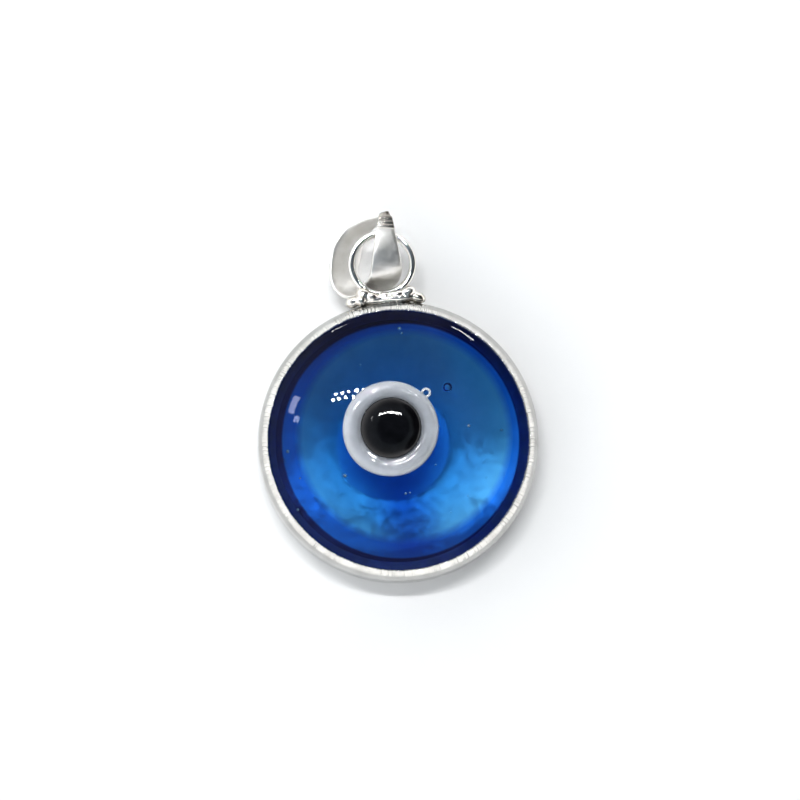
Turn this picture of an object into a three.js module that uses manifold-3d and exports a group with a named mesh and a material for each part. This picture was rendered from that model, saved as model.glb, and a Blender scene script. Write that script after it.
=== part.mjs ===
// Evil eye pendant: a domed blue glass disc with a raised white dot and black pupil, held in a
// silver bezel cup, with a jump ring soldered to the bezel and a folded strip bail hanging loose
// in the ring. Millimetres, +Z up. The pendant lies on its back, face up, with the
// ring and bail towards +Y. The origin is under the middle of the whole pendant.
import * as THREE from 'three';
import { mergeVertices } from 'three/addons/utils/BufferGeometryUtils.js';
import Module from 'manifold-3d';

const wasm = await Module();
wasm.setup();

// ---- driving dimensions (mm) ----
const BEZEL_RADIUS = 10.0; // outside of the silver rim
const BEZEL_WALL = 0.4; // thickness of the bezel strip
const BEZEL_HEIGHT = 3.58; // top of the burnished lip
const LIP_RADIUS = 9.27; // edge of the lip, where the glass shows
const WALL_LEAN = [[0.12, 0], [1.2, 0.03], [2.4, 0.09], [3.1, 0.2], [3.48, 0.38]]; // height, closing in
const BACK_THICKNESS = 0.35; // sheet that closes the back
const BACK_EDGE = 0.08; // softened lower edge of the sheet

const GLASS_RADIUS = 9.53;
const GIRDLE_HEIGHT = 2.75; // where the glass is widest
const GLASS_TOP = 5.0; // crown of the dome
const GLASS_CHAMFER = 0.25; // fire-polished back edge

const EYE_CENTRE = new THREE.Vector2(-0.55, 0.68); // the dot sits off the middle of the disc
const WHITE_RADIUS = 3.35;
const WHITE_SHELF = 5.4; // height of the white ring beside the pupil
const PUPIL_RADIUS = 2.11;
const PUPIL_TOP = 6.0;
const FUSE_GAP = 0.02; // clearance kept between pieces that are fused or soldered together

const RING_RADIUS = 2.17; // jump ring, to the middle of the wire
const WIRE_RADIUS = 0.265;
const RING_CENTRE = new THREE.Vector3(0, 12.66, 2.6);
const RING_CUT = 0.06; // width of the closed butt joint in the ring
const RING_SEAM = -Math.PI / 2 - 0.1; // where the joint lies, as an angle round the ring

const STRIP_THICKNESS = 0.34; // silver strip that the bail is folded from
const TIP_HALF_WIDTH = 0.46;
const FOLD_HALF_WIDTH = 1.18;
const TAPER_LENGTH = 4.0; // from each tip to the full width

const SEGMENTS = 72; // facets round the disc

// ---- materials ----
const silver = (roughness) => new THREE.MeshStandardMaterial({ color: 0xe4e2dc, roughness, metalness: 1 });
const glass = (color, opacity = 1) =>
  new THREE.MeshStandardMaterial({ color, roughness: 0.03, metalness: 0, opacity, transparent: opacity < 1 });

// ---- helpers ----
const TAU = 2 * Math.PI;
const v2 = (r, z) => new THREE.Vector2(r, z);

// Closed triangle geometry to a solid with its faces pointing out.
function solid(geometry) {
  const bare = new THREE.BufferGeometry();
  bare.setAttribute('position', geometry.getAttribute('position').clone());
  bare.setIndex(geometry.getIndex() ? geometry.getIndex().clone() : null);
  const merged = mergeVertices(bare, 1e-4);
  const index = merged.getIndex().array;
  const position = merged.getAttribute('position');
  const corner = [new THREE.Vector3(), new THREE.Vector3(), new THREE.Vector3()];
  const faces = [];
  let volume = 0;
  for (let i = 0; i < index.length; i += 3) {
    const [a, b, c] = [index[i], index[i + 1], index[i + 2]];
    if (a === b || b === c || c === a) continue;
    faces.push([a, b, c]);
    corner.forEach((p, k) => p.fromBufferAttribute(position, index[i + k]));
    volume += corner[0].dot(corner[1].cross(corner[2]));
  }
  const ordered = volume > 0 ? faces : faces.map(([a, b, c]) => [a, c, b]);
  return new wasm.Manifold(new wasm.Mesh({
    numProp: 3,
    vertProperties: new Float32Array(position.array),
    triVerts: new Uint32Array(ordered.flat()),
  }));
}

function mesh(name, body, material) {
  const cut = body.getMesh();
  const geometry = new THREE.BufferGeometry();
  geometry.setAttribute('position', new THREE.BufferAttribute(new Float32Array(cut.vertProperties), 3));
  geometry.setIndex(new THREE.BufferAttribute(new Uint32Array(cut.triVerts), 1));
  geometry.computeVertexNormals();
  const part = new THREE.Mesh(geometry, material);
  part.name = name;
  return part;
}

// Profile that closes on itself, for a ring.
function loop(points) {
  return [...points, points[0].clone()];
}

// Profile of (radius, height) points turned about the Z axis.
function turned(points, segments = SEGMENTS) {
  return solid(new THREE.LatheGeometry(points, segments).rotateX(Math.PI / 2));
}

// Quarter of an ellipse from (radius, low) up to the axis at height top.
function crown(radius, low, top, steps) {
  const points = [];
  for (let i = 0; i <= steps; i += 1) {
    const angle = (i / steps) * (Math.PI / 2);
    points.push(v2(radius * Math.cos(angle), low + (top - low) * Math.sin(angle)));
  }
  points[steps].x = 0;
  return points;
}

// Body through rows of points: round and back to the start when looped, else with flat ends.
function swept(rows, looped) {
  const sides = rows[0].length;
  const faces = [];
  const spans = looped ? rows.length : rows.length - 1;
  for (let i = 0; i < spans; i += 1) {
    const next = (i + 1) % rows.length;
    for (let j = 0; j < sides; j += 1) {
      const k = (j + 1) % sides;
      const [a, b, c, d] = [i * sides + j, next * sides + j, next * sides + k, i * sides + k];
      faces.push(a, b, c, a, c, d);
    }
  }
  if (!looped) {
    const end = spans * sides;
    for (let j = 1; j < sides - 1; j += 1) {
      faces.push(0, j, j + 1, end, end + j + 1, end + j);
    }
  }
  const geometry = new THREE.BufferGeometry().setFromPoints(rows.flat());
  geometry.setIndex(faces);
  return solid(geometry);
}

// ---- bezel ----
// Outside of the wall from near its foot up to the lip. grow moves it out.
function wallOutline(grow = 0) {
  return WALL_LEAN.map(([height, lean]) => v2(BEZEL_RADIUS - lean + grow, height));
}

// Flat strip bent round and soldered, with its top edge burnished in over the glass.
function bezelStrip() {
  const inner = BEZEL_RADIUS - BEZEL_WALL;
  const footChamfer = 0.1;
  return turned(loop([
    v2(inner, 0),
    v2(BEZEL_RADIUS - footChamfer, 0),
    ...wallOutline(),
    v2(LIP_RADIUS + 0.14, BEZEL_HEIGHT),
    v2(LIP_RADIUS + 0.02, BEZEL_HEIGHT - 0.08),
    v2(LIP_RADIUS, BEZEL_HEIGHT - 0.2),
    v2(inner - 0.16, BEZEL_HEIGHT - 0.34),
    v2(inner - 0.03, BEZEL_HEIGHT - 0.62),
    v2(inner, BEZEL_HEIGHT - 0.98),
  ]));
}

// Round of flat sheet soldered inside the foot of the strip. The glass rests on it.
function backPlate() {
  const outer = BEZEL_RADIUS - BEZEL_WALL - FUSE_GAP;
  return turned([
    v2(0, 0),
    v2(outer - BACK_EDGE, 0),
    v2(outer, BACK_EDGE),
    v2(outer, BACK_THICKNESS),
    v2(0, BACK_THICKNESS),
  ]);
}

// ---- glass ----
function glassBlank() {
  const low = BACK_THICKNESS + FUSE_GAP;
  return turned([
    v2(0, low),
    v2(GLASS_RADIUS - GLASS_CHAMFER, low),
    v2(GLASS_RADIUS - 0.3 * GLASS_CHAMFER, low + 0.3 * GLASS_CHAMFER),
    v2(GLASS_RADIUS, low + GLASS_CHAMFER),
    ...crown(GLASS_RADIUS, GIRDLE_HEIGHT, GLASS_TOP, 14),
  ]);
}

// White dot, sunk a little into the dome. grow gives the clearance of the hollow it lies in.
function whiteBlank(grow = 0) {
  const body = turned([
    v2(0, GLASS_TOP - 0.75 - grow),
    v2(0.55 * WHITE_RADIUS, GLASS_TOP - 0.7 - grow),
    v2(0.9 * WHITE_RADIUS, GLASS_TOP - 0.5 - grow),
    v2(WHITE_RADIUS + grow, GLASS_TOP - 0.2),
    v2(WHITE_RADIUS - 0.03 + grow, GLASS_TOP + 0.02),
    v2(WHITE_RADIUS - 0.2, WHITE_SHELF - 0.17 + grow),
    v2(WHITE_RADIUS - 0.5, WHITE_SHELF - 0.05 + grow),
    v2(WHITE_RADIUS - 0.9, WHITE_SHELF + grow),
    v2(0, WHITE_SHELF + 0.02 + grow),
  ], 48);
  return body.translate([EYE_CENTRE.x, EYE_CENTRE.y, 0]);
}

// Black pupil, a bead sunk into the white.
function pupilBlank(grow = 0) {
  const body = turned([
    v2(0, WHITE_SHELF - 0.45 - grow),
    v2(0.7 * PUPIL_RADIUS, WHITE_SHELF - 0.35 - grow),
    v2(PUPIL_RADIUS + grow, WHITE_SHELF - 0.06),
    ...crown(PUPIL_RADIUS + grow, WHITE_SHELF, PUPIL_TOP + grow, 8),
  ], 48);
  return body.translate([EYE_CENTRE.x, EYE_CENTRE.y, 0]);
}

// ---- jump ring and its solder ----
// Wire bent round to a butt joint at the bottom, beside the solder. The tool for cutting its seat
// in the solder is a whole ring of thicker wire.
function ringWire(grow = 0) {
  const whole = grow > 0;
  const wire = WIRE_RADIUS + grow;
  const cutAngle = whole ? 0 : RING_CUT / RING_RADIUS;
  const steps = 56;
  const sides = 12;
  const rows = [];
  for (let i = 0; i < (whole ? steps : steps + 1); i += 1) {
    const turn = RING_SEAM + cutAngle / 2 + (i / steps) * (TAU - cutAngle);
    const row = [];
    for (let j = 0; j < sides; j += 1) {
      const side = (j / sides) * TAU;
      const reach = RING_RADIUS + wire * Math.cos(side);
      row.push(new THREE.Vector3(reach * Math.cos(turn), reach * Math.sin(turn), wire * Math.sin(side)));
    }
    rows.push(row);
  }
  return swept(rows, whole).translate(RING_CENTRE.toArray());
}

// Lump of solder: an ellipsoid by centre and half sizes.
function lump(x, y, z, halfX, halfY, halfZ, turn = 0) {
  const geometry = new THREE.SphereGeometry(1, 16, 10).scale(halfX, halfY, halfZ);
  return solid(geometry.rotateZ(turn)).translate([x, y, z]);
}

function ringSolder() {
  const foot = RING_CENTRE.y - RING_RADIUS; // lowest point of the wire
  const z = RING_CENTRE.z;
  const saddle = lump(0.3, foot - 0.42, z, 2.3, 0.52, 0.72)
    .add(lump(-1.45, foot - 0.12, z + 0.1, 0.85, 0.36, 0.46, -0.5))
    .add(lump(-1.95, foot - 0.5, z, 0.5, 0.34, 0.45, 0.25))
    .add(lump(1.5, foot - 0.06, z + 0.06, 1.0, 0.38, 0.46, 0.42))
    .add(lump(2.4, foot - 0.58, z - 0.05, 0.95, 0.32, 0.46, -0.25));
  const wall = turned([
    v2(0, 0),
    v2(BEZEL_RADIUS + FUSE_GAP, 0),
    ...wallOutline(FUSE_GAP),
    v2(LIP_RADIUS, BEZEL_HEIGHT + FUSE_GAP),
    v2(0, BEZEL_HEIGHT + FUSE_GAP),
  ]);
  return saddle.subtract(wall).subtract(ringWire(FUSE_GAP));
}

// ---- bail ----
// Middle line of the strip from its front end at the tip, over the ring, down through the ring in
// the wide fold and back under the ring to the tip. The loop lies over on its left side, and
// roll is the lean of the strip in degrees at each point.
const BAIL_ROUTE = [
  { at: [0.5, 16.02, 2.86], roll: 4 },
  { at: [0.47, 15.4, 3.24], roll: 4 },
  { at: [0.4, 14.5, 3.51], roll: 5 },
  { at: [0.34, 13.3, 3.47], roll: 8 },
  { at: [0.28, 12.35, 3.14], roll: 13 },
  { at: [0.12, 11.8, 2.54], roll: 20 },
  { at: [-0.22, 11.48, 1.72], roll: 22 },
  { at: [-1.05, 11.14, 1.18], roll: 26 },
  { at: [-2.18, 11.04, 1.2], roll: 32 },
  { at: [-2.72, 11.8, 1.06], roll: 33 },
  { at: [-2.66, 13.1, 1.0], roll: 30 },
  { at: [-2.25, 14.3, 1.05], roll: 26 },
  { at: [-1.5, 15.3, 1.3], roll: 20 },
  { at: [-0.5, 15.86, 1.88], roll: 12 },
  { at: [0.4, 16.06, 2.44], roll: 6 },
];

function bailStrip(grow = 0) {
  const points = BAIL_ROUTE.map((knot) => new THREE.Vector3(...knot.at));
  const curve = new THREE.CatmullRomCurve3(points, false, 'centripetal');
  const length = curve.getLength();
  const steps = 60;
  const last = BAIL_ROUTE.length - 1;
  const halfThickness = STRIP_THICKNESS / 2 + grow;
  const section = [[-1, 0.5], [-0.84, 1], [0.84, 1], [1, 0.5], [1, -0.5], [0.84, -1], [-0.84, -1], [-1, -0.5]];
  const rows = [];
  for (let i = 0; i <= steps; i += 1) {
    const t = curve.getUtoTmapping(i / steps);
    const from = Math.min(Math.floor(t * last), last - 1);
    const { roll: rollFrom } = BAIL_ROUTE[from];
    const { roll: rollTo } = BAIL_ROUTE[from + 1];
    const roll = THREE.MathUtils.degToRad(THREE.MathUtils.lerp(rollFrom, rollTo, t * last - from));
    const along = curve.getTangent(t);
    const across = new THREE.Vector3(Math.cos(roll), 0, -Math.sin(roll));
    across.addScaledVector(along, -across.dot(along)).normalize();
    const out = new THREE.Vector3().crossVectors(across, along);
    const fromTip = Math.min(i, steps - i) / steps * length;
    const half = THREE.MathUtils.lerp(TIP_HALF_WIDTH, FOLD_HALF_WIDTH, Math.min(1, fromTip / TAPER_LENGTH)) + grow;
    rows.push(section.map(([u, v]) => curve.getPoint(t)
      .addScaledVector(across, u * half)
      .addScaledVector(out, v * halfThickness)));
  }
  return swept(rows, false);
}

// ---- assembly ----
const pendant = new THREE.Group();
const white = whiteBlank().subtract(pupilBlank(FUSE_GAP));
pendant.add(
  mesh('bezel_strip', bezelStrip(), silver(0.18)),
  mesh('back_plate', backPlate(), silver(0.3)),
  mesh('glass_disc', glassBlank().subtract(whiteBlank(FUSE_GAP)), glass(0x0b4fa8, 0.6)),
  mesh('white_dot', white, glass(0xd8d8e6)),
  mesh('black_pupil', pupilBlank(), glass(0x050507)),
  mesh('jump_ring', ringWire(), silver(0.12)),
  mesh('ring_solder', ringSolder(), silver(0.28)),
  mesh('bail_strip', bailStrip(), silver(0.15)),
  mesh('bail_solder', lump(0.47, 16.07, 2.65, 0.46, 0.32, 0.4).subtract(bailStrip(FUSE_GAP)), silver(0.3)),
);

// The origin goes under the middle of the finished pendant.
const box = new THREE.Box3().setFromObject(pendant);
pendant.position.set(-(box.min.x + box.max.x) / 2, -(box.min.y + box.max.y) / 2, -box.min.z);

const model = new THREE.Group();
model.add(pendant);
export default model;
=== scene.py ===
import math

import bpy
import numpy as np
from mathutils import Matrix, Vector, noise


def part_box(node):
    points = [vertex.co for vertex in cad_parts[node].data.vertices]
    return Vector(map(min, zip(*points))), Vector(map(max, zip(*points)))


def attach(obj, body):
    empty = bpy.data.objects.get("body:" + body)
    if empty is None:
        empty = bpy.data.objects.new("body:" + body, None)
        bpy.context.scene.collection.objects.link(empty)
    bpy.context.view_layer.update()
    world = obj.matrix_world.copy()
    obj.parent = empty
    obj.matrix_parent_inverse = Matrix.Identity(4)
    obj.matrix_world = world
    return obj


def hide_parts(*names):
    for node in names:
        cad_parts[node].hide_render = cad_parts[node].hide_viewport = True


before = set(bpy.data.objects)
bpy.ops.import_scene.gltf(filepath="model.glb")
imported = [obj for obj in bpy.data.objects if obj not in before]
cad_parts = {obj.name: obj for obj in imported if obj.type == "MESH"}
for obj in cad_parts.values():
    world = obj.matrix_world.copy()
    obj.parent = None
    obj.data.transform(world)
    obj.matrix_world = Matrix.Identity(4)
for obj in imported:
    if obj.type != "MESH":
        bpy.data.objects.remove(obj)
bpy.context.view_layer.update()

MM = 0.001
TAU = 2 * math.pi
SCENE = bpy.context.scene


# ---- places and sizes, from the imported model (mm) ----
def node_box(node):
    low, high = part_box(node)
    return low / MM, high / MM


def middle(node):
    low, high = node_box(node)
    return (low + high) / 2


RIM_LOW, RIM_HIGH = node_box("bezel_strip")
DISC_X, DISC_Y = middle("bezel_strip").x, middle("bezel_strip").y
RIM_R = (RIM_HIGH.x - RIM_LOW.x) / 2
RIM_TOP = RIM_HIGH.z
WALL = 0.4  # thickness of the silver strip
LIP_R = RIM_R - 0.86  # inner edge of the burnished lip
GLASS_LOW, GLASS_HIGH = node_box("glass_disc")
GLASS_R = (GLASS_HIGH.x - GLASS_LOW.x) / 2
GLASS_BACK = GLASS_LOW.z
GLASS_TOP = 5.0
DOT_LOW, DOT_HIGH = node_box("white_dot")
DOT = middle("white_dot")
DOT_R = (DOT_HIGH.x - DOT_LOW.x) / 2
DOT_TOP = DOT_HIGH.z
PUPIL_LOW, PUPIL_HIGH = node_box("black_pupil")
PUPIL_R = (PUPIL_HIGH.x - PUPIL_LOW.x) / 2
RING_LOW, RING_HIGH = node_box("jump_ring")
RING = middle("jump_ring")
WIRE_R = (RING_HIGH.z - RING_LOW.z) / 2
RING_R = (RING_HIGH.x - RING_LOW.x) / 2 - WIRE_R
TARGET = Vector((DISC_X, DISC_Y, 3.0)) * MM  # what the camera and the lamps aim at, in metres


# ---- mesh helpers (mm in, metres out) ----
def mesh_piece(name, points, faces):
    mesh = bpy.data.meshes.new(name)
    mesh.from_pydata([tuple(c * MM for c in p) for p in points], [], faces)
    mesh.validate()
    mesh.polygons.foreach_set("use_smooth", [True] * len(mesh.polygons))
    mesh.update()
    piece = bpy.data.objects.new(name, mesh)
    SCENE.collection.objects.link(piece)
    return piece


def smooth_line(points, per_span):
    """Points on a Catmull-Rom curve through the given points, ends included."""
    padded = [2 * points[0] - points[1], *points, 2 * points[-1] - points[-2]]
    line = []
    for i in range(1, len(padded) - 2):
        a, b, c, d = padded[i - 1:i + 3]
        for step in range(per_span):
            t = step / per_span
            line.append(0.5 * (2 * b + (c - a) * t + (2 * a - 5 * b + 4 * c - d) * t * t
                               + (3 * b - a - 3 * c + d) * t ** 3))
    return [*line, points[-1]]


def profile(points, per_span):
    """Smooth (radius, height) line through these points."""
    return [(p.x, p.y) for p in smooth_line([Vector(p) for p in points], per_span)]


def turned(line, looped, x, y, turns=288, warp=None):
    """Points and faces of a (radius, height) line turned about an upright axis at x, y."""
    points, rows, faces = [], [], []
    for i, (r, z) in enumerate(line):
        if r < 1e-6:
            rows.append([len(points)] * turns)
            points.append((x, y, z))
            continue
        rows.append(list(range(len(points), len(points) + turns)))
        for k in range(turns):
            angle = k / turns * TAU
            rr, zz = warp(angle, r, z) if warp else (r, z)
            points.append((x + rr * math.cos(angle), y + rr * math.sin(angle), zz))
    pairs = list(zip(rows, rows[1:])) + ([(rows[-1], rows[0])] if looped else [])
    for low, high in pairs:
        for k in range(turns):
            n = (k + 1) % turns
            face = [low[k], low[n], high[n], high[k]]
            face = [v for j, v in enumerate(face) if v != face[j - 1]]
            if len(face) > 2:
                faces.append(face)
    return points, faces


def grain(x, y, z, scale, seed):
    """Smooth noise from -1 to 1; scale is the size of its features in mm."""
    return noise.noise(Vector((x / scale + seed, y / scale - seed, z / scale + 2 * seed)))


def swept(centres, acrosses, outs, halves, section):
    """Closed strip or wire through centres. halves gives (half width, half thickness) at each."""
    points, faces = [], []
    sides = len(section)
    for centre, across, out, (half_w, half_t) in zip(centres, acrosses, outs, halves):
        points += [centre + across * (u * half_w) + out * (v * half_t) for u, v in section]
    for i in range(len(centres) - 1):
        for j in range(sides):
            k = (j + 1) % sides
            faces.append([i * sides + j, i * sides + k, (i + 1) * sides + k, (i + 1) * sides + j])
    faces.append(list(range(sides))[::-1])
    faces.append([(len(centres) - 1) * sides + j for j in range(sides)])
    return points, faces


def ball(x, y, z, r, inward=False, steps=14):
    line = [(r * math.sin(math.pi * i / steps), z - r * math.cos(math.pi * i / steps))
            for i in range(steps + 1)]
    line[0], line[-1] = (0, line[0][1]), (0, line[-1][1])
    points, faces = turned(line, False, x, y, turns=2 * steps)
    if inward:
        faces = [f[::-1] for f in faces]
    return points, faces


def joined(parts):
    """Points and faces of several parts as one list of each."""
    points, faces = [], []
    for part_points, part_faces in parts:
        base = len(points)
        points += part_points
        faces += [[v + base for v in f] for f in part_faces]
    return points, faces


def paint(polygons, index):
    """Give these faces another of their piece's materials."""
    for polygon in polygons:
        polygon.material_index = index


# ---- materials ----
def fill_ramp(node, stops):
    """Colours of a ramp node, from (position, colour) pairs."""
    elements = node.color_ramp.elements
    while len(elements) < len(stops):
        elements.new(0.5)
    for element, (position, color) in zip(elements, stops):
        element.position = position
        element.color = (*color, 1)


class Nodes:
    """A new material, and short ways to add nodes to it."""

    def __init__(self, name):
        self.material = bpy.data.materials.new(name)
        self.material.use_nodes = True
        self.tree = self.material.node_tree
        self.shader = self.tree.nodes["Principled BSDF"]
        self.output = self.tree.nodes["Material Output"]
        self.coords = self.tree.nodes.new("ShaderNodeTexCoord").outputs["Object"]

    def new(self, kind, **values):
        node = self.tree.nodes.new(kind)
        for key, value in values.items():
            setattr(node, key, value)
        return node

    def link(self, a, b):
        self.tree.links.new(a, b)

    def feed(self, socket, value):
        self.link(value, self.shader.inputs[socket])

    def noise(self, size_mm, detail=3.0, stretch=(1, 1, 1), turn=0.0, rough=0.55):
        """Noise whose features are about size_mm across, stretched along each axis."""
        mapping = self.new("ShaderNodeMapping")
        mapping.inputs["Rotation"].default_value = (0, 0, turn)
        mapping.inputs["Scale"].default_value = [1 / s for s in stretch]
        node = self.new("ShaderNodeTexNoise")
        node.inputs["Scale"].default_value = 1 / (size_mm * MM)
        node.inputs["Detail"].default_value = detail
        node.inputs["Roughness"].default_value = rough
        self.link(self.coords, mapping.inputs["Vector"])
        self.link(mapping.outputs["Vector"], node.inputs["Vector"])
        return node.outputs["Fac"]

    def ramp(self, value, stops):
        node = self.new("ShaderNodeValToRGB")
        fill_ramp(node, stops)
        self.link(value, node.inputs["Fac"])
        return node.outputs["Color"]

    def span(self, value, low, high, from_low=0.3, from_high=0.7):
        """The value moved from one range to another, and kept within it."""
        node = self.new("ShaderNodeMapRange")
        node.inputs["From Min"].default_value = from_low
        node.inputs["From Max"].default_value = from_high
        node.inputs["To Min"].default_value = low
        node.inputs["To Max"].default_value = high
        self.link(value, node.inputs["Value"])
        return node.outputs["Result"]

    def reach(self, x, y):
        """Distance from the upright line at x, y, all in mm."""
        offset = self.new("ShaderNodeVectorMath", operation="SUBTRACT")
        offset.inputs[1].default_value = (x * MM, y * MM, 0)
        flat = self.new("ShaderNodeVectorMath", operation="MULTIPLY")
        flat.inputs[1].default_value = (1 / MM, 1 / MM, 0)
        length = self.new("ShaderNodeVectorMath", operation="LENGTH")
        self.link(self.coords, offset.inputs[0])
        self.link(offset.outputs["Vector"], flat.inputs[0])
        self.link(flat.outputs["Vector"], length.inputs[0])
        return length.outputs["Value"]

    def times(self, color, factor):
        node = self.new("ShaderNodeVectorMath", operation="MULTIPLY")
        self.link(color, node.inputs[0])
        self.link(factor, node.inputs[1])
        return node.outputs["Vector"]

    def bump(self, heights):
        """Chain of bumps from (value, distance in mm) pairs, into the shader's normal."""
        last = None
        for value, distance in heights:
            node = self.new("ShaderNodeBump")
            node.inputs["Distance"].default_value = distance * MM
            node.inputs["Strength"].default_value = 1.0
            self.link(value, node.inputs["Height"])
            if last:
                self.link(last, node.inputs["Normal"])
            last = node.outputs["Normal"]
        self.feed("Normal", last)

    def set(self, **values):
        for key, value in values.items():
            self.shader.inputs[key.replace("_", " ")].default_value = value


def silver(name, dents, lines, bright=(0.88, 0.87, 0.85), dull=(0.76, 0.745, 0.71),
           rough=(0.06, 0.2), stretch=(1, 1, 0.05), turn=0.0):
    """Cloudy silver with dents and polishing lines, whose depths are in mm."""
    m = Nodes(name)
    cloud = m.noise(1.6, detail=5)
    fine = m.noise(0.35, detail=4)
    streaks = m.noise(0.9, detail=6, stretch=stretch, turn=turn, rough=0.7)
    m.feed("Base Color", m.ramp(cloud, [(0.3, dull), (0.62, bright)]))
    m.feed("Roughness", m.span(fine, *rough))
    m.set(Metallic=1.0)
    m.bump([(m.noise(1.1, detail=2), dents), (streaks, lines), (fine, 0.0006)])
    return m.material


def blue_glass():
    """Clear glass, blue by its depth. It lets the lamps' own light through, so what is under it is lit."""
    m = Nodes("cobalt_glass")
    clear = m.new("ShaderNodeBsdfTransparent")
    choose = m.new("ShaderNodeMixShader")
    m.link(m.new("ShaderNodeLightPath").outputs["Is Shadow Ray"], choose.inputs["Fac"])
    m.link(m.shader.outputs["BSDF"], choose.inputs[1])
    m.link(clear.outputs["BSDF"], choose.inputs[2])
    m.link(choose.outputs["Shader"], m.output.inputs["Surface"])
    m.set(Transmission_Weight=1.0, IOR=1.5)
    m.shader.inputs["Base Color"].default_value = (1, 1, 1, 1)
    m.feed("Roughness", m.span(m.noise(2.5, detail=6), 0.0, 0.035, 0.45, 0.8))
    m.bump([(m.noise(2.6, detail=1), 0.006), (m.noise(0.5, detail=2), 0.0003)])
    volume = m.new("ShaderNodeVolumeAbsorption")
    volume.inputs["Color"].default_value = (0.0, 0.64, 0.91, 1)
    volume.inputs["Density"].default_value = 420
    m.link(volume.outputs["Volume"], m.output.inputs["Volume"])
    return m.material


MILK = [(0.3, (0.45, 0.47, 0.50)), (0.7, (0.53, 0.55, 0.59))]


def white_glass():
    """Milky glass of the dot."""
    m = Nodes("milk_glass")
    m.feed("Base Color", m.ramp(m.noise(1.3, detail=5), MILK))
    m.feed("Roughness", m.span(m.noise(0.6, detail=4), 0.01, 0.035))
    m.set(IOR=1.55, Subsurface_Weight=0.8, Subsurface_Scale=0.0012)
    m.shader.inputs["Subsurface Radius"].default_value = (1, 1, 1)
    m.bump([(m.noise(0.9, detail=2), 0.0015)])
    return m.material


def painted_glow_underside():
    """Underside of the white dot, with a painted blue glow for the light gathered in the clear glass round
    it, fading towards its middle.
    """
    m = Nodes("milk_glass_painted_glow")
    share = m.span(m.reach(DOT.x, DOT.y), 0, 1, 0.3 * DOT_R, DOT_R)
    glow_ramp_painted = [(0.0, (0.02, 0.05, 0.18)), (0.6, (0.10, 0.27, 0.58)), (1.0, (0.33, 0.66, 1.0))]
    # painted glow: emission, dim at the middle and bright blue towards the edge
    m.feed("Emission Color", m.ramp(share, glow_ramp_painted))
    m.set(Emission_Strength=1.6, IOR=1.5)
    m.feed("Base Color", m.ramp(m.noise(1.3, detail=5), MILK))
    m.feed("Roughness", m.span(m.noise(0.6, detail=4), 0.2, 0.4))
    return m.material


def black_glass():
    """Black glass of the pupil."""
    m = Nodes("black_glass")
    blacks = [(0.3, (0.002, 0.002, 0.003)), (0.7, (0.008, 0.008, 0.011))]
    m.feed("Base Color", m.ramp(m.noise(0.8, detail=4), blacks))
    m.feed("Roughness", m.span(m.noise(0.5, detail=4), 0.02, 0.07))
    m.set(IOR=1.52)
    m.bump([(m.noise(0.7, detail=2), 0.006)])
    return m.material


FOIL_R = 8.4  # the bright backing stops short of the glass's edge
DEEP_BLUE = (0.002, 0.010, 0.19)
WHITE = (1, 1, 1)
# painted shade on the backing: the first two deepen it to blue towards the glass's edge, the last two darken
# it below the white dot
FOIL_PAINTED_SHADES = [  # middle from the disc's axis, radii where the ramp starts and ends, and the ramp
    (0.45, 0.3, 6.9, 7.9, [(0.0, WHITE), (0.6, (0.12, 0.45, 1.0))]),
    (0.2, 0, 8.05, 8.2, [(0.0, WHITE), (1.0, DEEP_BLUE)]),
    (-0.1, -4.3, 0.4, 3.0, [(0.0, (0.14, 0.34, 0.66)), (1.0, WHITE)]),
    (0.2, -6.6, 0.3, 2.8, [(0.0, (0.1, 0.38, 0.78)), (1.0, WHITE)])]


def foil():
    """Bright backing of the glass: part mirror, part white, with painted blue shade towards its edge and
    below the dot.
    """
    m = Nodes("foil_backing")
    color = m.ramp(m.noise(1.4, detail=6), [(0.3, (0.66, 0.66, 0.67)), (0.7, (0.76, 0.76, 0.75))])
    # painted shade: each band or spot darkens the backing's colour
    for x, y, start, end, stops in FOIL_PAINTED_SHADES:
        share = m.span(m.reach(DISC_X + x, DISC_Y + y), 0, 1, start, end)
        color = m.times(color, m.ramp(share, stops))
    m.feed("Base Color", color)
    m.feed("Roughness", m.span(m.noise(0.5, detail=4), 0.06, 0.13))
    m.set(Metallic=0.36)
    m.bump([(m.noise(0.6, detail=3), 0.0016)])
    return m.material


def trapped_air():
    """Silvery look of small bubbles inside the glass."""
    m = Nodes("trapped_air")
    silvers = [(0.3, (0.75, 0.77, 0.78)), (0.7, (0.95, 0.95, 0.95))]
    m.feed("Base Color", m.ramp(m.noise(0.2, detail=3), silvers))
    m.feed("Roughness", m.span(m.noise(0.1), 0.08, 0.2))
    m.set(Metallic=0.5)
    return m.material


def painted_edge_shade():
    """Painted shade: deep blue of the underside's outer ring and of the foot of the glass, next to the wall.
    """
    m = Nodes("shaded_edge")
    blues = [(0.3, (0.003, 0.009, 0.12)), (0.7, DEEP_BLUE)]
    m.feed("Base Color", m.ramp(m.noise(0.8, detail=4), blues))
    m.feed("Roughness", m.span(m.noise(0.5), 0.5, 0.7))
    return m.material


def floor_material():
    """Plain pale paper."""
    m = Nodes("floor_paper")
    whites = [(0.3, (0.95, 0.95, 0.95)), (0.7, (0.975, 0.975, 0.975))]
    m.feed("Base Color", m.ramp(m.noise(6, detail=6), whites))
    m.feed("Roughness", m.span(m.noise(1.0), 0.6, 0.75))
    m.set(Specular_IOR_Level=0.2)
    return m.material


# painted shade: the rim's silver is darker than the other silver, for the shaded look of the wall
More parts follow.
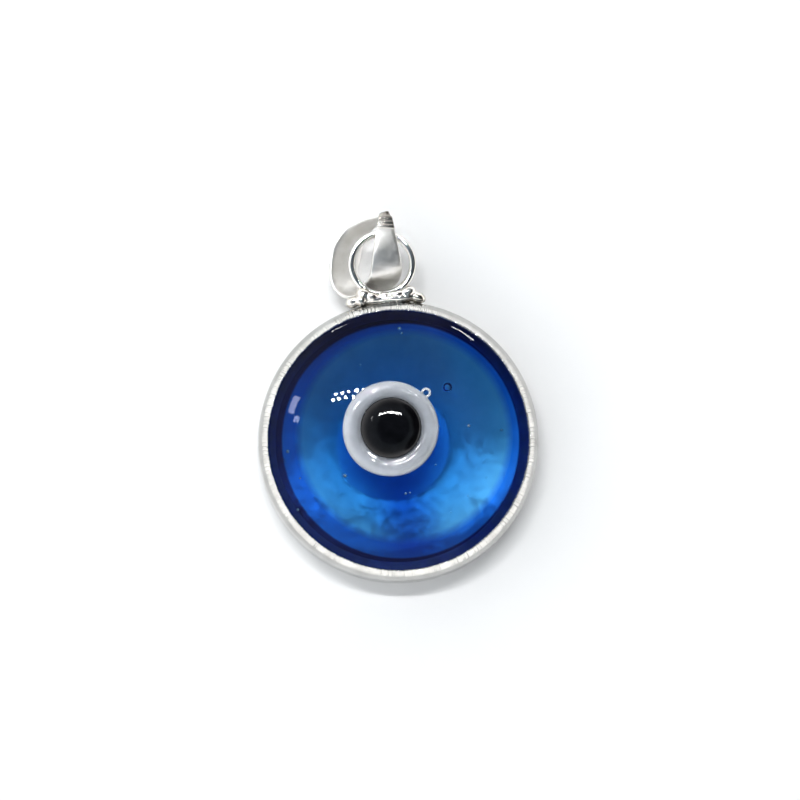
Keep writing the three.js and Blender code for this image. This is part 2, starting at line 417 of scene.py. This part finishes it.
RIM_SILVER = silver("rim_silver", dents=0.012, lines=0.0010,
                    bright=(0.61, 0.605, 0.59), dull=(0.50, 0.495, 0.48))
PLATE_SILVER = silver("plate_silver", dents=0.01, lines=0.002,
                      rough=(0.12, 0.3), stretch=(0.06, 1, 1), turn=0.5)
WIRE_SILVER = silver("wire_silver", dents=0.004, lines=0.0006, rough=(0.04, 0.12))
SOLDER_SILVER = silver("solder_silver", dents=0.05, lines=0.0,
                       bright=(0.93, 0.91, 0.87), dull=(0.70, 0.66, 0.60), rough=(0.08, 0.26))
TIP_SILVER = silver("tip_silver", dents=0.03, lines=0.0,
                    bright=(0.62, 0.60, 0.57), dull=(0.22, 0.20, 0.18), rough=(0.12, 0.3))
BAIL_SILVER = silver("bail_silver", dents=0.012, lines=0.0003,
                     rough=(0.34, 0.46), stretch=(0.08, 1, 1), turn=1.45)


def finish_piece(piece, body, slot, nodes, *materials):
    """Materials of a piece, the body that it rides on, its slot (not used) and the CAD nodes that it stands
    for.
    """
    for material in materials:
        piece.data.materials.append(material)
    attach(piece, body)
    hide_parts(*nodes)


# ---- bezel cup ----
LIP_NOTCHES = 216  # small notches of the burnishing tool round the lip
LIP_START = 2.9  # height where the strip begins to show the strokes of the tool


def rim_warp(angle, r, z):
    """A hand-burnished strip: a little out of round, with the lip pressed in by many strokes."""
    x, y = math.cos(angle), math.sin(angle)
    r += 0.012 * grain(x, y, 0, 0.7, 3.1)
    lip = min(1, max(0, (z - LIP_START) / 0.5))
    strokes = 0.8 * grain(x, y, 0, 0.06, 7.7) + 0.6 * grain(x, y, 0, 0.022, 1.3)
    strokes += 0.7 * math.cos(LIP_NOTCHES * angle + 3 * grain(x, y, 0, 0.3, 2.2))
    r += lip * (0.034 * strokes + 0.03 * grain(x, y, 0, 0.5, 5.0))
    z += lip * 0.03 * strokes
    return r, z


rim_line = profile([
    (RIM_R - WALL, 0.0), (RIM_R - 0.2, 0.0), (RIM_R - 0.06, 0.02), (RIM_R, 0.12),
    (RIM_R - 0.015, 0.7), (RIM_R - 0.03, 1.2), (RIM_R - 0.07, 2.3), (RIM_R - 0.15, 2.88),
    (RIM_R - 0.3, 3.17), (RIM_R - 0.5, 3.37), (RIM_R - 0.68, 3.51), (LIP_R + 0.08, RIM_TOP),
    (LIP_R + 0.02, 3.57), (LIP_R, 3.47), (LIP_R + 0.05, 3.36), (RIM_R - 0.6, 3.12), (RIM_R - 0.44, 2.8),
    (RIM_R - WALL, 2.5), (RIM_R - WALL, 1.4)], 4)
rim_shape = turned(rim_line, True, DISC_X, DISC_Y, turns=5 * LIP_NOTCHES, warp=rim_warp)
rim = mesh_piece("silver_rim", *rim_shape)
finish_piece(rim, "pendant", "silver", ["bezel_strip"], RIM_SILVER)

PLATE_R = RIM_R - WALL - 0.02
PLATE_TOP = 0.35
plate_line = [(0, 0), (4, 0), (8, 0)]
plate_line += profile([(PLATE_R - 0.08, 0), (PLATE_R - 0.02, 0.03), (PLATE_R, 0.1)], 3)
plate_line += [(PLATE_R, 0.33), (PLATE_R - 0.03, PLATE_TOP), (4, PLATE_TOP), (0, PLATE_TOP)]
plate = mesh_piece("silver_back_plate", *turned(plate_line, False, DISC_X, DISC_Y))
finish_piece(plate, "pendant", "silver", ["back_plate"], PLATE_SILVER)

# ---- glass ----
CAP_CURVE = 27.7  # radius of the dome
SHOULDER = 0.72  # rounding of its edge
SIDE_TOP = 2.55  # height up to which the glass's side is upright
UNDERSIDE = -1  # mark for a height on the underside, before the warp gives it its real one
BACK_DISH = 0.007  # how fast the rounded underside rises from its lowest point
BACK_LOW = (-3.0, 6.4)  # that point, from the disc's axis
CLEAR_BUBBLE = (3.68, 3.28, 3.4, 0.34)  # x, y, z from the disc's axis, radius
SILVERY_BUBBLES = [
    (4.9, 0.45, 4.1, 0.11), (-3.98, -2.25, 4.2, 0.12), (0.1, -3.85, 4.0, 0.09), (0.4, -3.82, 4.0, 0.07),
    (2.35, -2.05, 4.0, 0.07), (2.8, 0.55, 4.4, 0.08), (0.77, 7.75, 2.6, 0.14), (0.9, 7.4, 2.7, 0.09),
    (-7.7, -0.1, 2.4, 0.12), (7.15, 0.05, 2.6, 0.09), (-7.1, -2.1, 3.4, 0.06), (-7.4, -4.2, 2.6, 0.1),
    (4.4, -4.4, 3.9, 0.05), (3.1, -5.4, 3.8, 0.05), (-2.2, 5.4, 3.6, 0.05), (5.8, -3.2, 3.2, 0.05)]
BURST = (2.14, 2.97, 4.8, 0.27, 0.09)  # open bubble by the dot: place, radius, half thickness of its rim


def back_height(x, y):
    """Height of the glass's underside."""
    d = math.hypot(x - BACK_LOW[0], y - BACK_LOW[1])
    return GLASS_BACK + BACK_DISH * d * d


def glass_warp(angle, r, z):
    x, y = r * math.cos(angle), r * math.sin(angle)
    if z < 0:
        return r, back_height(x, y) + (z - UNDERSIDE)
    if r < GLASS_R - SHOULDER:
        z += 0.012 * grain(x, y, 0, 2.4, 9.0) * min(1, (GLASS_R - r) / 0.5)
    return r, z


def glass_mesh():
    """The disc and its bubbles, and how many faces are foil, foil or dark edge, and trapped air."""
    start = math.asin((GLASS_R - SHOULDER) / (CAP_CURVE - SHOULDER))  # where dome turns into shoulder
    top = [(CAP_CURVE * math.sin(a), GLASS_TOP - CAP_CURVE * (1 - math.cos(a)))
           for a in np.linspace(start, 0, 40)]
    top[-1] = (0, GLASS_TOP)
    hub_z = GLASS_TOP - CAP_CURVE + (CAP_CURVE - SHOULDER) * math.cos(start)
    shoulder = [(GLASS_R - SHOULDER + SHOULDER * math.cos(a), hub_z + SHOULDER * math.sin(a))
                for a in np.linspace(0, math.pi / 2 - start, 14)][:-1]
    edge = profile([(GLASS_R - 0.3, UNDERSIDE), (GLASS_R - 0.12, UNDERSIDE + 0.06),
                    (GLASS_R - 0.02, UNDERSIDE + 0.3)], 4)[1:]
    foil_back = [(r, UNDERSIDE) for r in np.linspace(0, FOIL_R, 27)]
    back = foil_back + [(r, UNDERSIDE) for r in np.linspace(FOIL_R, GLASS_R - 0.3, 5)[1:]]
    line = back + edge + [(GLASS_R, SIDE_TOP)] + shoulder + top
    turns = 288
    points, faces = turned(line, False, DISC_X, DISC_Y, turns, glass_warp)
    points[0] = (DISC_X, DISC_Y, back_height(0, 0))
    n_foil = (len(foil_back) - 1) * turns
    n_dark = (len(back) + len(edge) - 1) * turns
    x, y, z, r = CLEAR_BUBBLE
    clear = ball(DISC_X + x, DISC_Y + y, z, r, inward=True)
    silvery = [ball(DISC_X + x, DISC_Y + y, z, r) for x, y, z, r in SILVERY_BUBBLES]
    x, y, z, ring_r, tube = BURST
    circle = [(ring_r + tube * math.cos(a), z + tube * math.sin(a))
              for a in np.linspace(0, TAU, 16, endpoint=False)]
    silvery.append(turned(circle, True, DISC_X + x, DISC_Y + y, 40))
    n_air = sum(len(part_faces) for _, part_faces in silvery)
    return joined([(points, faces), clear, *silvery]), n_foil, n_dark, n_air


glass_shape, n_foil, n_dark, n_air = glass_mesh()
glass = mesh_piece("blue_glass_disc", *glass_shape)
finish_piece(glass, "pendant", "blue_glass", ["glass_disc"], blue_glass(), foil(), painted_edge_shade(), trapped_air())
paint(glass.data.polygons[:n_foil], 1)
# the outer underside and foot of the glass get the painted edge shade
paint(glass.data.polygons[n_foil:n_dark], 2)
paint(glass.data.polygons[-n_air:], 3)


# ---- dot and pupil ----
def round_warp(seed, amount):
    """Warp that makes a round a little uneven, by this share of its radius."""
    def warp(angle, r, z):
        r *= 1 + amount * grain(math.cos(angle), math.sin(angle), 0, 0.8, seed)
        return r, z
    return warp


def leaned(points, base, east, north):
    """Points above the base height, pushed sideways by these shares of their height over it."""
    return [(x + east * max(0, z - base), y + north * max(0, z - base), z) for x, y, z in points]


dot_line = profile([
    (0, DOT_TOP - 1.17), (0.3 * DOT_R, DOT_TOP - 1.15), (0.6 * DOT_R, DOT_TOP - 1.08),
    (0.86 * DOT_R, DOT_TOP - 0.93), (0.97 * DOT_R, DOT_TOP - 0.75), (DOT_R, DOT_TOP - 0.58),
    (DOT_R - 0.03, DOT_TOP - 0.42), (DOT_R - 0.12, DOT_TOP - 0.27), (DOT_R - 0.3, DOT_TOP - 0.12),
    (DOT_R - 0.48, DOT_TOP - 0.03), (DOT_R - 0.68, DOT_TOP), (DOT_R - 0.9, DOT_TOP - 0.03),
    (PUPIL_R + 0.1, DOT_TOP - 0.12), (PUPIL_R - 0.2, DOT_TOP - 0.24), (0.4 * DOT_R, DOT_TOP - 0.3),
    (0, DOT_TOP - 0.3)], 5)
dot = mesh_piece("white_glass_dot", *turned(dot_line, False, DOT.x, DOT.y, 192, round_warp(4.2, 0.012)))
finish_piece(dot, "pendant", "white_glass", ["white_dot"], white_glass(), painted_glow_underside())
# the lower faces take the painted glow
paint([p for p in dot.data.polygons if p.center.z < (DOT_TOP - 0.7) * MM], 1)

PUPIL = middle("black_pupil")
PUPIL_LEAN = (0.62, 0.42)  # the bead leans east and north by these shares of its height over the dot
pupil_line = profile([
    (0, PUPIL_LOW.z), (0.5 * PUPIL_R, PUPIL_LOW.z + 0.05), (0.85 * PUPIL_R, PUPIL_LOW.z + 0.2),
    (PUPIL_R, DOT_TOP - 0.12)], 6)
pupil_line += [(PUPIL_R * math.cos(a), DOT_TOP - 0.04 + (PUPIL_HIGH.z - DOT_TOP + 0.04) * math.sin(a))
               for a in np.linspace(0, math.pi / 2, 28)]
pupil_line[-1] = (0, PUPIL_HIGH.z)
pupil_points, pupil_faces = turned(pupil_line, False, PUPIL.x, PUPIL.y, 160, round_warp(8.8, 0.015))
pupil = mesh_piece("black_glass_pupil", leaned(pupil_points, DOT_TOP, *PUPIL_LEAN), pupil_faces)
finish_piece(pupil, "pendant", "black_glass", ["black_pupil"], black_glass())


# ---- jump ring ----
RING_SEAM = -math.pi / 2 - 0.1  # angle of the butt joint, at the foot of the ring


def ring_mesh():
    """Round wire bent to a ring, with its ends a little apart and rounded off."""
    cut = 0.05 / RING_R
    steps = 220
    section = [(math.cos(a), math.sin(a)) for a in np.linspace(0, TAU, 32, endpoint=False)]
    centres, acrosses, outs, halves = [], [], [], []
    for i in range(steps + 1):
        a = RING_SEAM + cut / 2 + i / steps * (TAU - cut)
        reach = RING_R + 0.012 * grain(math.cos(a), math.sin(a), 0, 0.6, 2.0)
        x, y = RING.x + reach * math.cos(a), RING.y + reach * math.sin(a)
        centres.append(Vector((x, y, RING.z + 0.01 * math.sin(3 * a))))
        acrosses.append(Vector((math.cos(a), math.sin(a), 0)))
        outs.append(Vector((0, 0, 1)))
        end = min(i, steps - i)
        wire = WIRE_R * (1 - 0.12 * math.exp(-end / 1.2))
        wire *= 1 + 0.02 * grain(math.cos(a), math.sin(a), 1, 0.2, 1.0)
        halves.append((wire, wire))
    return swept(centres, acrosses, outs, halves, section)


ring = mesh_piece("wire_ring", *ring_mesh())
finish_piece(ring, "pendant", "silver", ["jump_ring"], WIRE_SILVER)


# ---- solder ----
def melted(name, lumps, voxel, bumps, seed):
    """One smooth body from overlapping ellipsoids (centre, half sizes, turn about z), sizes in mm."""
    parts = []
    for (x, y, z), (a, b, c), turn in lumps:
        points, faces = ball(0, 0, 0, 1, steps=20)
        cos, sin = math.cos(turn), math.sin(turn)
        placed = [(x + a * p[0] * cos - b * p[1] * sin, y + a * p[0] * sin + b * p[1] * cos, z + c * p[2])
                  for p in points]
        parts.append((placed, faces))
    points, faces = joined(parts)
    grow = 1 / MM  # worked at a thousand times the size, above the remesh tool's smallest voxel
    piece = mesh_piece(name, [tuple(c * grow for c in p) for p in points], faces)
    remesh = piece.modifiers.new("melt", "REMESH")
    remesh.mode = "VOXEL"
    remesh.voxel_size = voxel
    soften = piece.modifiers.new("soften", "SMOOTH")
    soften.factor = 0.5
    soften.iterations = 3
    evaluated = piece.evaluated_get(bpy.context.evaluated_depsgraph_get())
    melted_mesh = bpy.data.meshes.new_from_object(evaluated)
    bpy.data.objects.remove(piece)
    for vertex in melted_mesh.vertices:
        p = vertex.co
        push = bumps * grain(p.x, p.y, p.z, 0.5, seed)
        vertex.co = (p + vertex.normal * push) * MM
    melted_mesh.polygons.foreach_set("use_smooth", [True] * len(melted_mesh.polygons))
    result = bpy.data.objects.new(name, melted_mesh)
    SCENE.collection.objects.link(result)
    return result


RING_FOOT = RING.y - RING_R
SADDLE = [
    ((0.1, RING_FOOT - 0.42, RING.z), (2.3, 0.42, 0.8), 0),
    ((-1.5, RING_FOOT + 0.02, RING.z + 0.2), (0.62, 0.5, 0.55), -0.6),
    ((-1.75, RING_FOOT - 0.38, RING.z + 0.35), (0.46, 0.42, 0.5), 0.3),
    ((-2.35, RING_FOOT - 0.42, RING.z + 0.1), (0.5, 0.42, 0.55), 0.35),
    ((-0.95, RING_FOOT - 0.2, RING.z + 0.42), (0.42, 0.36, 0.42), -0.2),
    ((-0.15, RING_FOOT - 0.22, RING.z + 0.34), (0.55, 0.32, 0.42), 0.2),
    ((0.72, RING_FOOT - 0.2, RING.z + 0.34), (0.6, 0.34, 0.42), 0.1),
    ((1.55, RING_FOOT - 0.1, RING.z + 0.2), (0.7, 0.44, 0.5), 0.42),
    ((2.25, RING_FOOT - 0.45, RING.z + 0.05), (0.62, 0.42, 0.5), -0.35)]
saddle = melted("solder_saddle", SADDLE, voxel=0.06, bumps=0.05, seed=2.5)
finish_piece(saddle, "pendant", "solder", ["ring_solder"], SOLDER_SILVER)

# ---- bail ----
BAIL_ROUTE = [  # middle line from the front tip, from the disc's axis, and the strip's lean in degrees
    ((0.5, 16.02, 3.1), 6), ((0.47, 15.4, 3.32), 8), ((0.4, 14.5, 3.5), 11),
    ((0.34, 13.3, 3.44), 12), ((0.28, 12.35, 3.14), 13), ((0.12, 11.75, 2.68), 20),
    ((-0.22, 11.38, 1.76), 15), ((-1.05, 11.1, 1.16), 18), ((-2.18, 11.04, 1.2), 32),
    ((-2.72, 11.8, 1.06), 33), ((-2.66, 13.1, 1.0), 30), ((-2.25, 14.3, 1.05), 26),
    ((-1.5, 15.3, 1.3), 20), ((-0.5, 15.86, 1.88), 12), ((0.4, 16.06, 2.44), 6)]
TIP_HALF = 0.46  # half the strip's width at its ends
FOLD_HALF = 1.18  # the same at the fold
TAPER = 4.0  # length over which the one grows to the other
STRIP_HALF = 0.17  # half its thickness
MARKED = 1.05  # length of the darkened end of the front leaf, with the marks of the pliers
PLIER_MARKS = ((0.42, 0.5), (0.72, 0.38), (0.98, 0.25))  # length from the tip, share of thickness lost
MARK_WIDTH = 0.07


def centripetal(points, per_span):
    """Dense points on a centripetal Catmull-Rom curve, with the knot position of each."""
    padded = [2 * points[0] - points[1], *points, 2 * points[-1] - points[-2]]
    line = []
    for i in range(1, len(padded) - 2):
        p0, p1, p2, p3 = padded[i - 1:i + 3]
        t0 = 0.0
        t1 = t0 + (p1 - p0).length ** 0.5
        t2 = t1 + (p2 - p1).length ** 0.5
        t3 = t2 + (p3 - p2).length ** 0.5
        last = i == len(padded) - 3
        for step in range(per_span + (1 if last else 0)):
            t = t1 + (t2 - t1) * step / per_span
            a1 = p0 * ((t1 - t) / (t1 - t0)) + p1 * ((t - t0) / (t1 - t0))
            a2 = p1 * ((t2 - t) / (t2 - t1)) + p2 * ((t - t1) / (t2 - t1))
            a3 = p2 * ((t3 - t) / (t3 - t2)) + p3 * ((t - t2) / (t3 - t2))
            b1 = a1 * ((t2 - t) / (t2 - t0)) + a2 * ((t - t0) / (t2 - t0))
            b2 = a2 * ((t3 - t) / (t3 - t1)) + a3 * ((t - t1) / (t3 - t1))
            line.append((b1 * ((t2 - t) / (t2 - t1)) + b2 * ((t - t1) / (t2 - t1)), i - 1 + step / per_span))
    return line


def strip_section(sides=40):
    """Rounded oblong with crowned faces, as (across, out) shares of the half sizes."""
    section = []
    for k in range(sides):
        a = k / sides * TAU
        u = math.copysign(abs(math.cos(a)) ** 0.35, math.cos(a))
        v = math.copysign(abs(math.sin(a)) ** 0.5, math.sin(a))
        section.append((u, v * (1 - 0.1 * u * u)))
    return section


def bail_mesh():
    """The folded strip, and how many of its faces are on the darkened end."""
    knots = [Vector((x + DISC_X, y + DISC_Y, z)) for (x, y, z), _ in BAIL_ROUTE]
    rolls = [roll for _, roll in BAIL_ROUTE]
    line = centripetal(knots, 20)
    places = [p for p, _ in line]
    lengths = [0.0]
    for a, b in zip(places, places[1:]):
        lengths.append(lengths[-1] + (b - a).length)
    centres, acrosses, outs, halves = [], [], [], []
    for i, (p, t) in enumerate(line):
        k = min(int(t), len(rolls) - 2)
        roll = math.radians(rolls[k] + (rolls[k + 1] - rolls[k]) * (t - k))
        along = (places[min(i + 1, len(places) - 1)] - places[max(i - 1, 0)]).normalized()
        across = Vector((math.cos(roll), 0, -math.sin(roll)))
        across = (across - along * across.dot(along)).normalized()
        out = across.cross(along)
        s = lengths[i]
        from_tip = min(s, lengths[-1] - s)
        half = TIP_HALF + (FOLD_HALF - TIP_HALF) * min(1, from_tip / TAPER)
        half *= 1 + 0.02 * grain(s, 0, 0, 1.2, 3.3)
        thick = STRIP_HALF * (1 + 0.05 * grain(s, 1, 0, 0.8, 5.1))
        for at, deep in PLIER_MARKS:
            thick *= 1 - deep * math.exp(-((s - at) / MARK_WIDTH) ** 2)
        rounding = min(1, (from_tip + 0.02) / 0.14) ** 0.5
        centres.append(p)
        acrosses.append(across)
        outs.append(out)
        halves.append((half * rounding, thick * rounding))
    section = strip_section()
    n_marked = sum(length < MARKED for length in lengths) * len(section)
    return swept(centres, acrosses, outs, halves, section), n_marked


bail_shape, n_marked = bail_mesh()
bail = mesh_piece("bail_loop", *bail_shape)
finish_piece(bail, "bail", "silver", ["bail_strip"], BAIL_SILVER, TIP_SILVER)
paint(bail.data.polygons[:n_marked], 1)
TIP = [
    ((0.47 + DISC_X, 16.07 + DISC_Y, 2.65), (0.44, 0.3, 0.42), 0),
    ((0.5 + DISC_X, 15.98 + DISC_Y, 3.08), (0.17, 0.15, 0.13), 0),
    ((0.62 + DISC_X, 16.22 + DISC_Y, 2.8), (0.22, 0.16, 0.2), 0.3)]
tip = melted("bail_tip_bead", TIP, voxel=0.04, bumps=0.012, seed=6.5)
finish_piece(tip, "bail", "solder", ["bail_solder"], TIP_SILVER)

# ---- floor, light and camera ----
FLOOR_Z = -0.00002  # in metres, just under the object
SKY = [  # brightness of the room by the height of the direction, from level (0) to straight up (1)
    (0.0, (1.75, 1.75, 1.73)), (0.35, (1.85, 1.85, 1.85)), (0.55, (1.4, 1.41, 1.42)),
    (0.75, (0.54, 0.58, 0.62)), (0.92, (0.30, 0.36, 0.40)), (0.945, (0.09, 0.11, 0.14)),
    (1.0, (0.08, 0.10, 0.13))]
# darker parts of the room: lean of their middle to the east and north in degrees, nearness (cosine)
# to it where the shade starts and where it is full, and the share of light left there
DARK_PARTS = [
    (52, 4, 0.88, 0.965, 0.06), (42, 32, 0.90, 0.97, 0.1), (42, -32, 0.90, 0.97, 0.1),
    (3, 53, 0.86, 0.99, 0.6)]
LED_COUNT = 27  # small lamps in two staggered rows, for the chain of points on the glass
LED_POWER = 0.17
LED_RADIUS = 0.0043
LED_DISTANCE = 0.5
LED_ROW = 0.95  # half the angle between the rows, in degrees
BOX_DISTANCE = 1.2
CAMERA_DISTANCE = 0.156
CAMERA_ELEVATION = math.radians(85)
CAMERA_SIDE = math.radians(-2)
CAMERA_ROLL = math.radians(5.3)
SENSOR = 36.0
IMAGE_SIZE = 800
PIXELS_PER_MM = 14.2  # at the camera's target
SHIFT_X, SHIFT_Y = 1.3, 40  # in pixels


def toward(east, north):
    """Direction that leans by these degrees from straight up."""
    lean = math.radians(math.hypot(east, north))
    turn = math.atan2(north, east)
    return Vector((math.cos(turn) * math.sin(lean), math.sin(turn) * math.sin(lean), math.cos(lean)))


def leaning(east, north, distance):
    """Place at a distance from the disc, in the direction that leans by these degrees from straight up."""
    return toward(east, north) * distance + TARGET


def add_floor():
    bpy.ops.mesh.primitive_plane_add(size=3.0, location=(0, 0, FLOOR_Z))
    floor = bpy.context.active_object
    floor.name = "floor"
    floor.data.materials.append(floor_material())


def add_room():
    """Plain studio seen in reflections: bright low down, dim overhead, with a few darker parts."""
    world = bpy.data.worlds.new("studio")
    SCENE.world = world
    world.use_nodes = True
    tree = world.node_tree
    background = tree.nodes["Background"]
    direction = tree.nodes.new("ShaderNodeTexCoord").outputs["Generated"]
    split = tree.nodes.new("ShaderNodeSeparateXYZ")
    tree.links.new(direction, split.inputs["Vector"])
    height = tree.nodes.new("ShaderNodeValToRGB")
    fill_ramp(height, SKY)
    tree.links.new(split.outputs["Z"], height.inputs["Fac"])
    color = height.outputs["Color"]
    for east, north, edge, full, left in DARK_PARTS:
        nearness = tree.nodes.new("ShaderNodeVectorMath")
        nearness.operation = "DOT_PRODUCT"
        nearness.inputs[1].default_value = toward(east, north)
        tree.links.new(direction, nearness.inputs[0])
        shade = tree.nodes.new("ShaderNodeMapRange")
        shade.interpolation_type = "SMOOTHSTEP"
        shade.inputs["From Min"].default_value = edge
        shade.inputs["From Max"].default_value = full
        shade.inputs["To Min"].default_value = 1.0
        shade.inputs["To Max"].default_value = left
        tree.links.new(nearness.outputs["Value"], shade.inputs["Value"])
        dim = tree.nodes.new("ShaderNodeVectorMath")
        dim.operation = "SCALE"
        tree.links.new(color, dim.inputs[0])
        tree.links.new(shade.outputs["Result"], dim.inputs["Scale"])
        color = dim.outputs["Vector"]
    tree.links.new(color, background.inputs["Color"])
    background.inputs["Strength"].default_value = 1.0


def add_lamp(light, place):
    """Lamp object that isn't seen through the glass, only mirrored."""
    lamp = bpy.data.objects.new(light.name, light)
    lamp.location = place
    SCENE.collection.objects.link(lamp)
    lamp.visible_transmission = False
    return lamp


def add_leds():
    """The small lamps, along a line that bends down towards the east."""
    for k in range(LED_COUNT):
        light = bpy.data.lights.new(f"led_{k:02d}", "POINT")
        light.energy = LED_POWER
        light.shadow_soft_size = LED_RADIUS
        share = k / (LED_COUNT - 1)
        east = -18 + 29 * share
        north = 20.0 + 2.5 * share - 8.5 * max(0, share - 0.4) + (LED_ROW if k % 2 else -LED_ROW)
        add_lamp(light, leaning(east, north, LED_DISTANCE))


def add_softbox(name, east, north, width, depth, radiance, mirror):
    """Rectangular lamp aimed at the disc. Where a piece is given as its mirror, only that piece shows it."""
    light = bpy.data.lights.new(name, "AREA")
    light.shape = "RECTANGLE"
    light.size = width
    light.size_y = depth
    light.energy = radiance * math.pi * width * depth
    place = leaning(east, north, BOX_DISTANCE)
    lamp = add_lamp(light, place)
    lamp.rotation_euler = (place - TARGET).to_track_quat("Z", "Y").to_euler()
    if mirror:
        lamp.visible_diffuse = False
        lamp.light_linking.receiver_collection = bpy.data.collections.new(name + "_mirror")
        lamp.light_linking.receiver_collection.objects.link(mirror)


def add_camera():
    """Camera almost straight above the disc, turned and moved off centre as the picture's framing needs."""
    data = bpy.data.cameras.new("camera")
    data.sensor_width = SENSOR
    data.lens = PIXELS_PER_MM * CAMERA_DISTANCE / MM / IMAGE_SIZE * SENSOR
    data.clip_start = 0.001
    data.shift_x = SHIFT_X / IMAGE_SIZE
    data.shift_y = SHIFT_Y / IMAGE_SIZE
    camera = bpy.data.objects.new("camera", data)
    back = Vector((math.sin(CAMERA_SIDE), -math.cos(CAMERA_ELEVATION), math.sin(CAMERA_ELEVATION)))
    back = back.normalized()
    right = Vector((0, 1, 0)).cross(back).normalized()
    up = back.cross(right)
    rolled_right = right * math.cos(CAMERA_ROLL) - up * math.sin(CAMERA_ROLL)
    rolled_up = right * math.sin(CAMERA_ROLL) + up * math.cos(CAMERA_ROLL)
    matrix = Matrix((rolled_right, rolled_up, back)).transposed().to_4x4()
    matrix.translation = TARGET + back * CAMERA_DISTANCE
    camera.matrix_world = matrix
    SCENE.collection.objects.link(camera)
    SCENE.camera = camera


LIGHT_BOXES = [  # name, lean to the east and north in degrees, width and depth in metres, brightness, mirror
    ("window_upper", -30.3, 19.3, 0.10, 0.048, 7.0, None),
    ("window_lower", -29.8, 14.6, 0.05, 0.036, 7.0, None),
    ("glint_left", -14.0, 44.0, 0.10, 0.022, 14.0, glass),
    ("glint_right", 26.0, 38.0, 0.16, 0.022, 14.0, glass),
    ("arc_left", -33.0, 32.0, 0.24, 0.06, 40.0, dot),
    ("arc_middle", -5.0, 46.0, 0.30, 0.06, 40.0, dot),
    ("arc_right", 28.0, 38.0, 0.24, 0.06, 40.0, dot)]
add_floor()
add_room()
add_leds()
for box in LIGHT_BOXES:
    add_softbox(*box)
add_camera()

SCENE.view_settings.view_transform = "Standard"
SCENE.view_settings.gamma = 0.82
SCENE.cycles.max_bounces = 16
SCENE.cycles.transmission_bounces = 12
SCENE.cycles.glossy_bounces = 8
SCENE.cycles.diffuse_bounces = 5
SCENE.cycles.caustics_refractive = False
